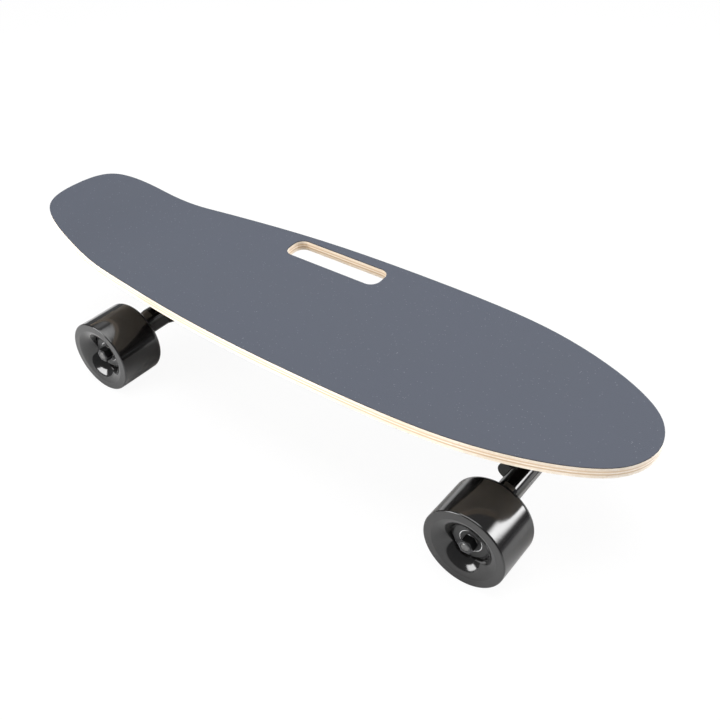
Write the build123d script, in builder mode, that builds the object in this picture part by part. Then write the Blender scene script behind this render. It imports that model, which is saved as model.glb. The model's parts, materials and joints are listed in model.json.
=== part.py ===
"""Electric skateboard: a short maple cruiser deck on two sprung trucks, with one hub motor.

Frame: +X towards the nose, +Y to the rider's left, +Z up. The origin is on the ground, under the
middle of the deck. Millimetres. Left is +Y and right is -Y throughout.
"""

import os
from math import cos, hypot, pi, radians, sin, sqrt, tan

from build123d import *

os.makedirs("parts", exist_ok=True)

# %% Driving dimensions ------------------------------------------------------------------------

# Deck
deck_length = 700.0
deck_width = 196.0
wood_thickness = 10.2  # seven maple plies
grip_thickness = 0.8
concave_radius = 1200.0  # across the deck, of the grip's top face
kick_length = 128.5  # from the start of the kick to the tail's tip
kick_radius = 203.5
kick_angle = 16.5
slot_length = 118.9
slot_width = 29.2
slot_corner = 11.0
slot_forward = -31.3  # slot centre, ahead of the middle of the deck
slot_edge_wood = 12.1  # wood left between the slot and the deck's widest line

# Trucks: "out" is the distance from the axle towards the nearer end of the deck
nose_overhang = 103.0  # nose tip to front axle
tail_overhang = 152.0  # tail tip to rear axle
truck_height = 57.0  # axle centre to the top of the base plate
riser_thickness = 9.0
plate_thickness = 6.0
plate_inner = 40.0  # base plate, axle to its inner end
plate_outer = 46.0  # base plate, axle to its outer end
plate_width = 58.0
plate_corner = 10.0
bolt_spacing_x = 53.98
bolt_spacing_y = 41.28
bolt_radius = 2.5
bolt_head_radius = 4.9
bolt_nut_flats = 8.0
bolt_nut_height = 5.0

kingpin_lean = 15.0  # from vertical
kingpin_radius = 4.76
kingpin_head_radius = 8.0
kingpin_head_height = 6.0
kingpin_nut_flats = 14.3
kingpin_nut_height = 7.0
kingpin_boss_radius = 13.0
ring_out = -21.0  # centre of the hanger's bushing ring
ring_up = 14.0
ring_radius = 15.0
ring_bore = 7.6
ring_thickness = 9.0
bushing_radius = 12.5
bushing_tip_radius = 9.5
upper_bushing_height = 14.0
lower_bushing_height = 10.5
washer_thickness = 1.5
pivot_out = 24.0  # centre of the hanger's rounded pivot nose
pivot_up = 40.0
pivot_radius = 6.3
pivot_neck_radius = 4.8
cup_wall = 2.4
cup_mouth = 6.0  # the cup's mouth, before the nose's centre
socket_wall = 3.4

# Hanger and axle
hanger_half = 83.0  # half of the passive hanger's length
beam_half = 50.0  # half of the beam's deep middle stretch
beam_round = 8.5  # radius of the beam's underside, about the axle
ridge_end = 7.5  # radius of the beam's upper ridge at its ends, and its height over the axle
ridge_end_up = 5.0
ridge_middle = 10.5
ridge_middle_up = 9.5
web_half = 28.0  # half of the web's spread where it meets the beam
web_round = 8.0
cheek_inner = 18.5  # cheeks either side of the bushings, from the truck's middle
cheek_outer = 28.0
cheek_out = -14.0  # centre of the cheek's inner end
cheek_up = 8.0
cheek_round = 8.0
arm_half = 6.0  # half of the pivot arm's thickness
axle_radius = 4.0
axle_nut_flats = 13.0
axle_nut_height = 7.5
speed_ring = 1.0
speed_ring_radius = 6.2

# Wheels
wheel_radius = 39.0
wheel_width = 52.0
dish_depth = 12.5  # outer face to bearing face
lip_width = 8.0  # of the flat outer lip
core_radius = 16.5
core_shoulder = 9.0  # bore between the two bearings
tread_round_in = 5.5
tread_round_out = 1.4
bearing_radius = 11.0
bearing_width = 7.0
bearing_gap = 10.0  # between the two bearings
inner_race_radius = 6.0
outer_race_bore = 9.4
ball_radius = 1.5
ball_count = 7
shield_thickness = 0.4

# Hub motor, in the rear left wheel
motor_sleeve = 6.0  # urethane over the motor can
can_wall = 2.2
can_end_wall = 4.0
magnet_thickness = 1.8
magnet_count = 14
magnet_share = 0.86  # of the can's inner circumference
air_gap = 0.5
stator_teeth = 12
stator_width = 17.0
tooth_width = 3.4
tooth_tip = 1.8
coil_thickness = 1.4
coil_overhang = 2.0
cover_thickness = 3.6
housing_wall = 3.4
motor_hub_radius = 9.0
cover_screw_count = 6

# Battery and controller enclosure
enclosure_width = 104.0
enclosure_depth = 28.0  # below the deck
enclosure_corner = 16.0
enclosure_edge = 5.0
flange_width = 9.0
flange_thickness = 3.0
shell_wall = 2.5
gasket_thickness = 1.5
truck_gap = 12.0  # between the enclosure and the base plates
side_screws = 4
screw_radius = 1.5
screw_bite = 7.0  # into the wood
screw_head_radius = 2.9
screw_head_height = 1.8
cell_count = 10
cell_radius = 9.2
cell_length = 65.0
cell_pitch = 18.8
link_thickness = 0.3
link_width = 7.0
board_thickness = 1.6
sink_height = 5.0
bms_length = 70.0
bms_width = 40.0
button_radius = 5.6
button_proud = 2.0
button_travel = 0.8
stem_radius = 2.0
switch_depth = 5.0
button_from_front = 78.0
window_length = 22.0
window_height = 5.0
window_from_front = 108.0
socket_from_front = 46.0
socket_radius = 5.6
socket_bore = 3.0
socket_pin = 1.0
socket_depth = 9.0
cap_radius = 7.0
cap_thickness = 1.6
cap_pin_radius = 0.75
gland_radius = 6.0
gland_bore = 3.0
gland_length = 12.0
gland_from_rear = 20.0  # from the shell's tail end

# Clearances
fit = 0.05  # pressed or bonded round pieces
seat = 0.3  # pieces that rest together loosely
running = 0.3  # pieces that move past each other
loose = 0.25  # bolts in their holes

# %% Places worked out from the sizes above ----------------------------------------------------

LEFT = 1
RIGHT = -1
half_length = deck_length / 2
half_width = deck_width / 2
stack = wood_thickness + grip_thickness
deck_bottom = wheel_radius + truck_height + riser_thickness
deck_top = deck_bottom + stack
wood_top = deck_top - grip_thickness
plate_top = wheel_radius + truck_height
kick_start = -half_length + kick_length
slot_center_y = half_width - slot_edge_wood - slot_width / 2

FRONT = {"name": "front", "x": half_length - nose_overhang, "out": 1}
REAR = {"name": "rear", "x": -half_length + tail_overhang, "out": -1}
TRUCKS = (FRONT, REAR)

lip_radius = wheel_radius - lip_width

# Distances out along an axle, from the middle of the board
inner_bearing = hanger_half + speed_ring
outer_bearing = inner_bearing + bearing_width + bearing_gap
bearing_end = outer_bearing + bearing_width
outer_face = bearing_end + dish_depth
inner_face = outer_face - wheel_width
core_in = hanger_half + seat
core_out = bearing_end + 0.5
nut_start = bearing_end + speed_ring
axle_end = nut_start + axle_nut_height + 0.8
motor_hanger_half = inner_face - 2.5
motor_bearing = inner_face + 6.0
cover_in = inner_face + 2.0
can_end = bearing_end + can_end_wall

# Outline of the deck: share of the half length, share of the half width
outline_shape = [
    (-0.966, 0.473),
    (-0.900, 0.616),
    (-0.800, 0.702),
    (-0.657, 0.786),
    (-0.486, 0.868),
    (-0.286, 0.944),
    (-0.057, 0.991),
    (0.171, 1.000),
    (0.400, 0.982),
    (0.600, 0.912),
    (0.771, 0.753),
    (0.900, 0.541),
    (0.966, 0.342),
]

# Truck geometry in the plane of its middle
lean = radians(kingpin_lean)
steer_run = pivot_out - ring_out
steer_rise = pivot_up - ring_up
steer_length = hypot(steer_run, steer_rise)
steer_angle = Vector(1, 0).get_angle(Vector(steer_run, steer_rise))
beam_reach = -ring_out * cos(lean) + ring_up * sin(lean)  # ring centre to the axle, across the kingpin
upper_washer = ring_thickness / 2 + upper_bushing_height
upper_seat = upper_washer + washer_thickness
lower_washer = ring_thickness / 2 + lower_bushing_height
lower_seat = lower_washer + washer_thickness
kingpin_end = lower_seat + kingpin_nut_height + 1.5
head_top = (truck_height - 0.5 - kingpin_head_radius * sin(lean) - ring_up) / cos(lean)
head_seat = head_top - kingpin_head_height
cup_radius = pivot_radius + running + cup_wall
socket_radius_outer = cup_radius + fit + socket_wall

bolt_pattern = [(i * bolt_spacing_x / 2, j * bolt_spacing_y / 2) for i in (-1, 1) for j in (-1, 1)]
bolt_places = [(truck["x"] + x, y) for truck in TRUCKS for x, y in bolt_pattern]

# Enclosure
enclosure_rear = REAR["x"] + plate_inner + truck_gap
enclosure_front = FRONT["x"] - plate_inner - truck_gap
enclosure_length = enclosure_front - enclosure_rear
enclosure_x = (enclosure_front + enclosure_rear) / 2
body_length = enclosure_length - 2 * flange_width
body_width = enclosure_width - 2 * flange_width
body_corner = enclosure_corner - flange_width / 2
cavity_length = body_length - 2 * shell_wall
cavity_width = body_width - 2 * shell_wall
cavity_corner = body_corner - shell_wall
shell_bottom = deck_bottom - enclosure_depth
shell_floor = shell_bottom + shell_wall
flange_top = deck_bottom - gasket_thickness
flange_bottom = flange_top - flange_thickness
fitting_z = (shell_bottom + flange_bottom) / 2 + 1.0
side_wall = -body_width / 2
cell_z = shell_floor + seat + cell_radius
first_cell_x = enclosure_x - cavity_length / 2 + 10.0 + cell_pitch / 2
pack_length = cell_count * cell_pitch
sink_rear = first_cell_x - cell_pitch / 2 + pack_length + 6.0
sink_front = enclosure_x + cavity_length / 2 - 14.0
sink_x = (sink_rear + sink_front) / 2
sink_length = sink_front - sink_rear
sink_width = cavity_width - 22.0
screw_line = (enclosure_width - flange_width) / 2
screw_places = [
    (enclosure_x + (i - (side_screws - 1) / 2) * body_length / side_screws, side * screw_line)
    for side in (LEFT, RIGHT)
    for i in range(side_screws)
] + [(enclosure_x + end * (enclosure_length - flange_width) / 2, 0.0) for end in (1, -1)]


# %% Helpers -----------------------------------------------------------------------------------


def save(piece, node):
    """Labels a finished piece and writes it as its own node."""
    piece.part.label = node
    export_step(piece.part, f"parts/{node}.step")


def rise(depth, y):
    """How far a surface, at a depth below the grip's face, has curved up at y."""
    radius = concave_radius + depth
    return radius - sqrt(radius**2 - y**2)


def board_layer(upper, lower):
    """The deck's cross-section between two depths below the grip's top face."""
    half = half_width + 5.0
    with BuildSketch(Plane.YZ.offset(half_length + overrun)) as layer:
        with BuildLine():
            top = ThreePointArc(
                (-half, deck_top - upper + rise(upper, half)),
                (0, deck_top - upper),
                (half, deck_top - upper + rise(upper, half)),
            )
            under = ThreePointArc(
                (-half, deck_top - lower + rise(lower, half)),
                (0, deck_top - lower),
                (half, deck_top - lower + rise(lower, half)),
            )
            Line(top @ 0, under @ 0)
            Line(top @ 1, under @ 1)
        make_face()
    return layer.sketch


def wood_underside():
    """A disc whose lowest stretch is the deck's curved underside, for trimming what seats on it."""
    with BuildSketch(Plane.YZ) as disc:
        with Locations((0, deck_bottom + concave_radius + stack)):
            Circle(concave_radius + stack)
    return disc.sketch


def truck_plane(truck, out, up, angle):
    """Plane square to a direction that climbs outward at an angle; the plane's x is +Y."""
    climb = radians(angle)
    return Plane(
        origin=(truck["x"] + truck["out"] * out, 0, wheel_radius + up),
        x_dir=(0, 1, 0),
        z_dir=(truck["out"] * cos(climb), 0, sin(climb)),
    )


def kingpin_plane(truck, along=0.0):
    """Plane square to the kingpin, at a distance up it from the middle of the hanger's ring."""
    return truck_plane(truck, ring_out, ring_up, 90 - kingpin_lean).offset(along)


def steer_plane(truck, along=0.0):
    """Plane square to the steering axis, at a distance outward from the pivot nose's centre."""
    return truck_plane(truck, pivot_out, pivot_up, steer_angle).offset(along)


def along_steer(distance):
    """Point on the steering axis in a truck's side view, past the pivot nose's centre."""
    return (
        pivot_out + distance * steer_run / steer_length,
        pivot_up + distance * steer_rise / steer_length,
    )


def side_plane(truck, y=0.0):
    """A truck's side view at y: the plane's x is outward from the axle and its y is up."""
    return Plane(
        origin=(truck["x"], y, wheel_radius), x_dir=(truck["out"], 0, 0), z_dir=(0, -truck["out"], 0)
    )


def axle_section(truck, side):
    """Plane of a half section about the axle: x is the distance out along it and y is the radius."""
    return Plane(origin=(truck["x"], 0, wheel_radius), x_dir=(0, side, 0), z_dir=(side, 0, 0))


def axle_square(truck, side, distance):
    """Plane square to the axle, at a distance out along it."""
    return Plane(
        origin=(truck["x"], side * distance, wheel_radius), x_dir=(1, 0, 0), z_dir=(0, side, 0)
    )


def axle_line(truck):
    return Axis((truck["x"], 0, wheel_radius), (0, 1, 0))


def band(near, far, inner, outer, mode=Mode.ADD):
    """Rectangle of a half section, from near to far along the axle, between two radii."""
    with Locations(((near + far) / 2, (inner + outer) / 2)):
        Rectangle(far - near, outer - inner, mode=mode)


def wall_plane(from_front, depth=0.0):
    """Plane on the enclosure's right wall: its x is +X, its y is up and it faces outward."""
    return Plane(
        origin=(enclosure_front - flange_width - from_front, side_wall + depth, fitting_z),
        x_dir=(1, 0, 0),
        z_dir=(0, -1, 0),
    )


def gland_plane(out):
    """Plane of the cable gland, at a distance outward from the enclosure's left wall."""
    return Plane(
        origin=(enclosure_x - body_length / 2 + gland_from_rear, -side_wall + out, fitting_z),
        x_dir=(1, 0, 0),
        z_dir=(0, 1, 0),
    )


# %% Deck and grip -----------------------------------------------------------------------------

overrun = 30.0  # the swept board runs past the outline that trims it

with BuildLine(Plane.XZ) as spine:
    flat = Line((half_length + overrun, deck_top), (kick_start, deck_top))
    bend = JernArc(flat @ 1, flat % 1, kick_radius, -kick_angle)
    Line(bend @ 1, bend @ 1 + (bend % 1) * (kick_length + overrun))

with BuildSketch(Plane.XY.offset(deck_bottom - overrun)) as outline:
    with BuildLine():
        left_edge = Spline(
            (-half_length, 0),
            *[(x * half_length, y * half_width) for x, y in outline_shape],
            (half_length, 0),
            tangents=((0, 1), (0, -1)),
            tangent_scalars=(1, 1),
        )
        mirror(left_edge, about=Plane.XZ)
    make_face()
    with Locations((slot_forward, slot_center_y)):
        RectangleRounded(slot_length, slot_width, slot_corner, mode=Mode.SUBTRACT)

trim_height = 2 * overrun + stack + kick_length * tan(radians(kick_angle))

with BuildPart() as deck:
    sweep(board_layer(grip_thickness, stack), path=spine.wire())
    extrude(outline.sketch, amount=trim_height, mode=Mode.INTERSECT)
    with Locations([(x, y, wood_top) for x, y in bolt_places]):
        CounterSinkHole(bolt_radius + loose, bolt_head_radius + loose, 2 * stack, 90)
    with BuildSketch(Plane.XY.offset(deck_bottom - 1.0)):
        with Locations(screw_places):
            Circle(screw_radius + fit)
    extrude(amount=screw_bite + 2.0, mode=Mode.SUBTRACT)
save(deck, "deck")

with BuildPart() as grip_tape:
    sweep(board_layer(0, grip_thickness), path=spine.wire())
    extrude(outline.sketch, amount=trim_height, mode=Mode.INTERSECT)
save(grip_tape, "grip_tape")

with BuildPart() as riser_pads:
    for truck in TRUCKS:
        with BuildSketch(Plane(origin=(truck["x"], 0, plate_top), x_dir=(truck["out"], 0, 0))):
            with Locations(((plate_outer - plate_inner) / 2, 0)):
                RectangleRounded(plate_inner + plate_outer, plate_width, plate_corner)
            with Locations(bolt_pattern):
                Circle(bolt_radius + loose, mode=Mode.SUBTRACT)
        extrude(amount=riser_thickness + rise(stack, plate_width / 2) + 1.0)
    extrude(wood_underside(), amount=deck_length, both=True, mode=Mode.SUBTRACT)
save(riser_pads, "riser_pads")

bolt_grip = stack - grip_thickness + riser_thickness + plate_thickness
bolt_cone = bolt_head_radius - bolt_radius
bolt_end = wood_top - bolt_grip - bolt_nut_height - 1.5
nut_pocket = bolt_nut_flats / 2 + 1.6  # radius kept clear around each nut

with BuildPart() as truck_bolts:
    for x, y in bolt_places:
        with BuildSketch(Plane.XZ.offset(-y)):
            with BuildLine():
                Polyline(
                    (x, bolt_end),
                    (x + bolt_radius, bolt_end),
                    (x + bolt_radius, wood_top - bolt_cone),
                    (x + bolt_head_radius, wood_top),
                    (x, wood_top),
                    close=True,
                )
            make_face()
        revolve(axis=Axis((x, y, 0), (0, 0, 1)))
save(truck_bolts, "truck_bolts")

with BuildPart() as truck_nuts:
    with BuildSketch(Plane.XY.offset(plate_top - plate_thickness)):
        with Locations(bolt_places):
            RegularPolygon(bolt_nut_flats / 2, 6, major_radius=False)
            Circle(bolt_radius + fit, mode=Mode.SUBTRACT)
    extrude(amount=-bolt_nut_height)
save(truck_nuts, "truck_nuts")

# %% Base plates, kingpins and bushings --------------------------------------------------------


def make_base_plate(truck):
    """Cast plate with a boss for the kingpin, a socket for the pivot cup and a rib between them."""
    with BuildPart() as plate:
        with BuildSketch(Plane(origin=(truck["x"], 0, plate_top), x_dir=(truck["out"], 0, 0))):
            with Locations(((plate_outer - plate_inner) / 2, 0)):
                RectangleRounded(plate_inner + plate_outer, plate_width, plate_corner)
        extrude(amount=-plate_thickness)
        rim = plate.faces().sort_by(Axis.Z)[0].outer_wire().edges()
        chamfer(rim, 1.2)
        with BuildSketch(kingpin_plane(truck, upper_seat)):
            Circle(kingpin_boss_radius)
        extrude(amount=head_top - upper_seat + 2.0, taper=-6)
        with BuildSketch(side_plane(truck)):
            with Locations(along_steer(-cup_mouth + 1.0), along_steer(cup_radius)):
                Circle(socket_radius_outer - 4.0)
            for out in (pivot_out - 12.0, plate_outer - 12.0):
                with Locations((out, truck_height - 3.0)):
                    Circle(2.0)
            make_hull()
        extrude(amount=socket_radius_outer - 2.0, both=True)
        with BuildSketch(side_plane(truck)):
            with BuildLine():
                Polyline(
                    (ring_out + 8.0, truck_height - 2.0),
                    (ring_out + 8.0, truck_height - 17.0),
                    (pivot_out - 8.0, truck_height - 11.0),
                    (pivot_out, truck_height - 2.0),
                    close=True,
                )
            make_face()
        extrude(amount=3.0, both=True)
        with BuildSketch(steer_plane(truck, -cup_mouth)):
            Circle(socket_radius_outer)
        extrude(amount=cup_mouth + cup_radius + 2.0)
        split(bisect_by=Plane.XY.offset(plate_top), keep=Keep.BOTTOM)
        with BuildSketch(steer_plane(truck, -cup_mouth - 20.0)):
            Circle(cup_radius + fit)
        extrude(amount=20.0 + cup_mouth + pivot_radius + running + cup_wall / 2, mode=Mode.SUBTRACT)
        with BuildSketch(kingpin_plane(truck)):
            Circle(kingpin_radius + fit)
        extrude(amount=head_top + 20.0, mode=Mode.SUBTRACT)
        with BuildSketch(kingpin_plane(truck, head_seat)):
            Circle(kingpin_head_radius + loose)
        extrude(amount=20.0, mode=Mode.SUBTRACT)
        with BuildSketch(kingpin_plane(truck, upper_seat - 30.0)):
            Circle(kingpin_boss_radius + 6.0)
        extrude(amount=30.0, mode=Mode.SUBTRACT)
        for radius, depth in ((bolt_radius + loose, plate_thickness), (nut_pocket, 0.0)):
            with BuildSketch(Plane.XY.offset(plate_top - plate_thickness + depth)):
                with Locations([(truck["x"] + x, y) for x, y in bolt_pattern]):
                    Circle(radius)
            extrude(amount=-20.0, mode=Mode.SUBTRACT)
    return plate


for truck in TRUCKS:
    save(make_base_plate(truck), f"{truck['name']}_base_plate")

with BuildPart() as pivot_cups:
    for truck in TRUCKS:
        with BuildSketch(steer_plane(truck, -cup_mouth)):
            Circle(cup_radius)
        extrude(amount=cup_mouth + pivot_radius + running + cup_wall / 2)
        with BuildSketch(steer_plane(truck, -cup_mouth)):
            Circle(pivot_radius + running)
        extrude(amount=cup_mouth, mode=Mode.SUBTRACT)
        with Locations(steer_plane(truck)):
            Sphere(pivot_radius + running, mode=Mode.SUBTRACT)
save(pivot_cups, "pivot_cups")

with BuildPart() as kingpins:
    for truck in TRUCKS:
        with BuildSketch(kingpin_plane(truck, -kingpin_end)):
            Circle(kingpin_radius)
        extrude(amount=kingpin_end + head_seat)
        with BuildSketch(kingpin_plane(truck, head_seat)):
            Circle(kingpin_head_radius)
        extrude(amount=kingpin_head_height)
save(kingpins, "kingpins")

with BuildPart() as kingpin_nuts:
    for truck in TRUCKS:
        with BuildSketch(kingpin_plane(truck, -lower_seat)):
            RegularPolygon(kingpin_nut_flats / 2, 6, major_radius=False)
            Circle(kingpin_radius + fit, mode=Mode.SUBTRACT)
        extrude(amount=-kingpin_nut_height)
    chamfer(kingpin_nuts.edges().filter_by(GeomType.LINE).group_by(Axis.Z)[0], 0.4)
save(kingpin_nuts, "kingpin_nuts")

with BuildPart() as bushing_washers:
    for truck in TRUCKS:
        for start, thickness, radius in (
            (upper_washer, washer_thickness, bushing_radius + 0.8),
            (-lower_washer, -washer_thickness, bushing_tip_radius + 1.6),
        ):
            with BuildSketch(kingpin_plane(truck, start)):
                Circle(radius)
                Circle(kingpin_radius + fit, mode=Mode.SUBTRACT)
            extrude(amount=thickness)
save(bushing_washers, "bushing_washers")


def make_bushings(truck):
    """Two urethane bushings: a barrel above the hanger's ring and a cone below it."""
    face = ring_thickness / 2
    with BuildPart() as bushings:
        for start, height, far_radius in (
            (face, upper_bushing_height, bushing_radius),
            (-face, -lower_bushing_height, bushing_tip_radius),
        ):
            with BuildSketch(kingpin_plane(truck, start)):
                Circle(bushing_radius)
            with BuildSketch(kingpin_plane(truck, start + height)):
                Circle(far_radius)
            loft()
        with BuildSketch(kingpin_plane(truck, -lower_washer)):
            Circle(kingpin_radius + fit)
        extrude(amount=lower_washer + upper_washer, mode=Mode.SUBTRACT)
    return bushings


for truck in TRUCKS:
    save(make_bushings(truck), f"{truck['name']}_bushings")

# %% Hangers and axles -------------------------------------------------------------------------


def make_hanger(truck, left_half, right_half):
    """Cast hanger: a beam along the axle, a web with two cheeks round the ring, and the pivot arm."""
    stations = [
        (-right_half, ridge_end, ridge_end_up),
        (-beam_half, ridge_middle, ridge_middle_up),
        (beam_half, ridge_middle, ridge_middle_up),
        (left_half, ridge_end, ridge_end_up),
    ]
    with BuildPart() as hanger:
        for y, ridge, ridge_up in stations:
            with BuildSketch(side_plane(truck, y)):
                Circle(beam_round)
                with Locations((0, ridge_up)):
                    Circle(ridge)
                make_hull()
        loft(ruled=True)
        with BuildSketch(kingpin_plane(truck, -ring_thickness / 2)):
            Circle(ring_radius)
            with Locations((0, -truck["out"] * beam_reach)):
                SlotCenterToCenter(2 * web_half, 2 * web_round)
            make_hull()
        extrude(amount=ring_thickness)
        for side in (LEFT, RIGHT):
            with BuildSketch(side_plane(truck, side * (cheek_inner + cheek_outer) / 2)):
                Circle(beam_round)
                with Locations((cheek_out, cheek_up)):
                    Circle(cheek_round)
                make_hull()
            extrude(amount=(cheek_outer - cheek_inner) / 2, both=True)
        with BuildSketch(side_plane(truck)):
            with Locations((0, ridge_middle_up)):
                Circle(ridge_middle)
            with Locations(along_steer(-cup_mouth - 2.0 - pivot_neck_radius)):
                Circle(pivot_neck_radius)
            make_hull()
        extrude(amount=arm_half, both=True)
        with BuildSketch(steer_plane(truck, -cup_mouth - 8.0)):
            Circle(pivot_neck_radius)
        extrude(amount=cup_mouth + 8.0)
        with Locations(steer_plane(truck)):
            Sphere(pivot_radius)
        with BuildSketch(kingpin_plane(truck, -ring_thickness)):
            Circle(ring_bore)
        extrude(amount=2 * ring_thickness, mode=Mode.SUBTRACT)
        for along in (ring_thickness / 2, -ring_thickness / 2):
            with BuildSketch(kingpin_plane(truck, along)):
                Circle(bushing_radius + running)
            extrude(amount=along * 6, mode=Mode.SUBTRACT)
        with BuildSketch(axle_square(truck, LEFT, -right_half - 1.0)):
            Circle(axle_radius + fit)
        extrude(amount=left_half + right_half + 2.0, mode=Mode.SUBTRACT)
    return hanger


save(make_hanger(FRONT, hanger_half, hanger_half), "front_hanger")
save(make_hanger(REAR, motor_hanger_half, hanger_half), "rear_hanger")

wheels = [
    {"name": "front_left", "truck": FRONT, "side": LEFT},
    {"name": "front_right", "truck": FRONT, "side": RIGHT},
    {"name": "rear_right", "truck": REAR, "side": RIGHT},
]

for truck in TRUCKS:
    with BuildPart() as axle:
        with BuildSketch(axle_square(truck, LEFT, -axle_end)):
            Circle(axle_radius)
        extrude(amount=2 * axle_end)
        chamfer(axle.edges(), 0.5)
    save(axle, f"{truck['name']}_axle")

    with BuildPart() as axle_nuts:
        for side in (LEFT, RIGHT):
            with BuildSketch(axle_square(truck, side, nut_start)):
                RegularPolygon(axle_nut_flats / 2, 6, major_radius=False)
                Circle(axle_radius + fit, mode=Mode.SUBTRACT)
            extrude(amount=axle_nut_height)
    save(axle_nuts, f"{truck['name']}_axle_nuts")

    with BuildPart() as axle_spacers:
        for side in (LEFT, RIGHT):
            has_motor = truck is REAR and side == LEFT
            first = motor_hanger_half if has_motor else hanger_half
            with BuildSketch(axle_section(truck, side)):
                seat_start = motor_bearing if has_motor else inner_bearing
                band(first, seat_start, axle_radius + fit, speed_ring_radius)
                band(bearing_end, nut_start, axle_radius + fit, speed_ring_radius)
                if not has_motor:
                    band(
                        inner_bearing + bearing_width,
                        outer_bearing,
                        axle_radius + fit,
                        speed_ring_radius - 0.6,
                    )
            revolve(axis=axle_line(truck))
    save(axle_spacers, f"{truck['name']}_axle_spacers")

    with BuildPart() as inner_races:
        for side in (LEFT, RIGHT):
            has_motor = truck is REAR and side == LEFT
            with BuildSketch(axle_section(truck, side)):
                for start in (motor_bearing if has_motor else inner_bearing, outer_bearing):
                    band(start, start + bearing_width, axle_radius + fit, inner_race_radius)
            revolve(axis=axle_line(truck))
    save(inner_races, f"{truck['name']}_inner_races")

# %% Plain wheels ------------------------------------------------------------------------------


def make_tyre(truck, side):
    """Cast urethane tyre: rounded inner edge, flat lip and a deep hollow on both faces."""
    with BuildPart() as tyre:
        with BuildSketch(axle_section(truck, side)):
            with BuildLine():
                Line((core_in, core_radius + fit), (core_out, core_radius + fit))
                hollow_out = ThreePointArc(
                    (core_out, core_radius + fit),
                    ((core_out + outer_face) / 2 + 1.6, (core_radius + lip_radius) / 2 - 1.6),
                    (outer_face, lip_radius),
                )
                Line(hollow_out @ 1, (outer_face, wheel_radius - tread_round_out))
                edge_out = RadiusArc(
                    (outer_face, wheel_radius - tread_round_out),
                    (outer_face - tread_round_out, wheel_radius),
                    -tread_round_out,
                )
                Line(edge_out @ 1, (inner_face + tread_round_in, wheel_radius))
                edge_in = RadiusArc(
                    (inner_face + tread_round_in, wheel_radius),
                    (inner_face, wheel_radius - tread_round_in),
                    -tread_round_in,
                )
                Line(edge_in @ 1, (inner_face, lip_radius - 2.0))
                ThreePointArc(
                    (inner_face, lip_radius - 2.0),
                    ((core_in + inner_face) / 2 - 1.6, (core_radius + lip_radius - 2.0) / 2 - 1.6),
                    (core_in, core_radius + fit),
                )
            make_face()
        revolve(axis=axle_line(truck))
    return tyre


def make_core(truck, side):
    """Moulded wheel core: a seat for each bearing with a shoulder between them."""
    with BuildPart() as core:
        with BuildSketch(axle_section(truck, side)):
            band(core_in, core_out, core_shoulder, core_radius)
            band(core_in, inner_bearing + bearing_width, core_shoulder, bearing_radius + fit, Mode.SUBTRACT)
            band(outer_bearing, core_out, core_shoulder, bearing_radius + fit, Mode.SUBTRACT)
        revolve(axis=axle_line(truck))
    return core


def make_bearings(truck, side, starts):
    """The turning half of each ball bearing: outer race, balls and two shields."""
    with BuildPart() as bearings:
        with BuildSketch(axle_section(truck, side)):
            for start in starts:
                band(start, start + bearing_width, outer_race_bore, bearing_radius)
                for shield in (start, start + bearing_width - shield_thickness):
                    band(shield, shield + shield_thickness, inner_race_radius + running, outer_race_bore)
        revolve(axis=axle_line(truck))
        for start in starts:
            with Locations(axle_square(truck, side, start + bearing_width / 2)):
                with PolarLocations((inner_race_radius + outer_race_bore) / 2, ball_count):
                    Sphere(ball_radius)
    return bearings


for wheel in wheels:
    place = (wheel["truck"], wheel["side"])
    save(make_tyre(*place), f"{wheel['name']}_tyre")
    save(make_core(*place), f"{wheel['name']}_core")
    save(make_bearings(*place, (inner_bearing, outer_bearing)), f"{wheel['name']}_bearings")

# %% Hub motor, rear left ----------------------------------------------------------------------

can_radius = wheel_radius - motor_sleeve
can_bore = can_radius - can_wall
magnet_face = can_bore - magnet_thickness
stator_radius = magnet_face - air_gap
stator_bore = stator_radius - tooth_tip - 7.5
stator_middle = (motor_bearing + bearing_width + outer_bearing) / 2
stator_in = stator_middle - stator_width / 2
stator_out = stator_middle + stator_width / 2
housing_radius = bearing_radius + fit + housing_wall
cover_out = cover_in + cover_thickness
cover_screw_circle = can_bore - 2.0 * screw_radius
motor = (REAR, LEFT)

with BuildPart() as motor_tyre:
    with BuildSketch(axle_section(*motor)):
        band(inner_face, outer_face, can_radius + fit, wheel_radius)
    revolve(axis=axle_line(REAR))
    rims = motor_tyre.edges().filter_by(GeomType.CIRCLE).group_by(SortBy.RADIUS)[-1]
    fillet(rims, tread_round_out)
save(motor_tyre, "rear_left_motor_tyre")

with BuildPart() as motor_can:
    with BuildSketch(axle_section(*motor)):
        band(cover_out, can_end, can_bore, can_radius)
        band(bearing_end, can_end, bearing_radius - 1.0, can_radius)
        band(outer_bearing - 0.5, can_end, bearing_radius + fit, housing_radius)
    revolve(axis=axle_line(REAR))
    with BuildSketch(axle_square(*motor, can_end)):
        with PolarLocations((housing_radius + can_bore) / 2, cover_screw_count):
            Circle(3.2)
    extrude(amount=-1.6, mode=Mode.SUBTRACT)
save(motor_can, "rear_left_motor_can")

with BuildPart() as motor_cover:
    with BuildSketch(axle_section(*motor)):
        band(cover_in, cover_out, speed_ring_radius + running, can_radius)
        band(cover_in, motor_bearing + bearing_width, bearing_radius + fit, housing_radius)
        band(cover_out, cover_out + 2.5, can_bore - 5.5, can_bore - fit)
        band(motor_bearing, cover_out, 0.0, bearing_radius + fit, Mode.SUBTRACT)
    revolve(axis=axle_line(REAR))
    with BuildSketch(axle_square(*motor, cover_in)):
        with PolarLocations(cover_screw_circle, cover_screw_count):
            Circle(screw_radius + fit)
    extrude(amount=cover_thickness + 2.5, mode=Mode.SUBTRACT)
save(motor_cover, "rear_left_motor_cover")

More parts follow.
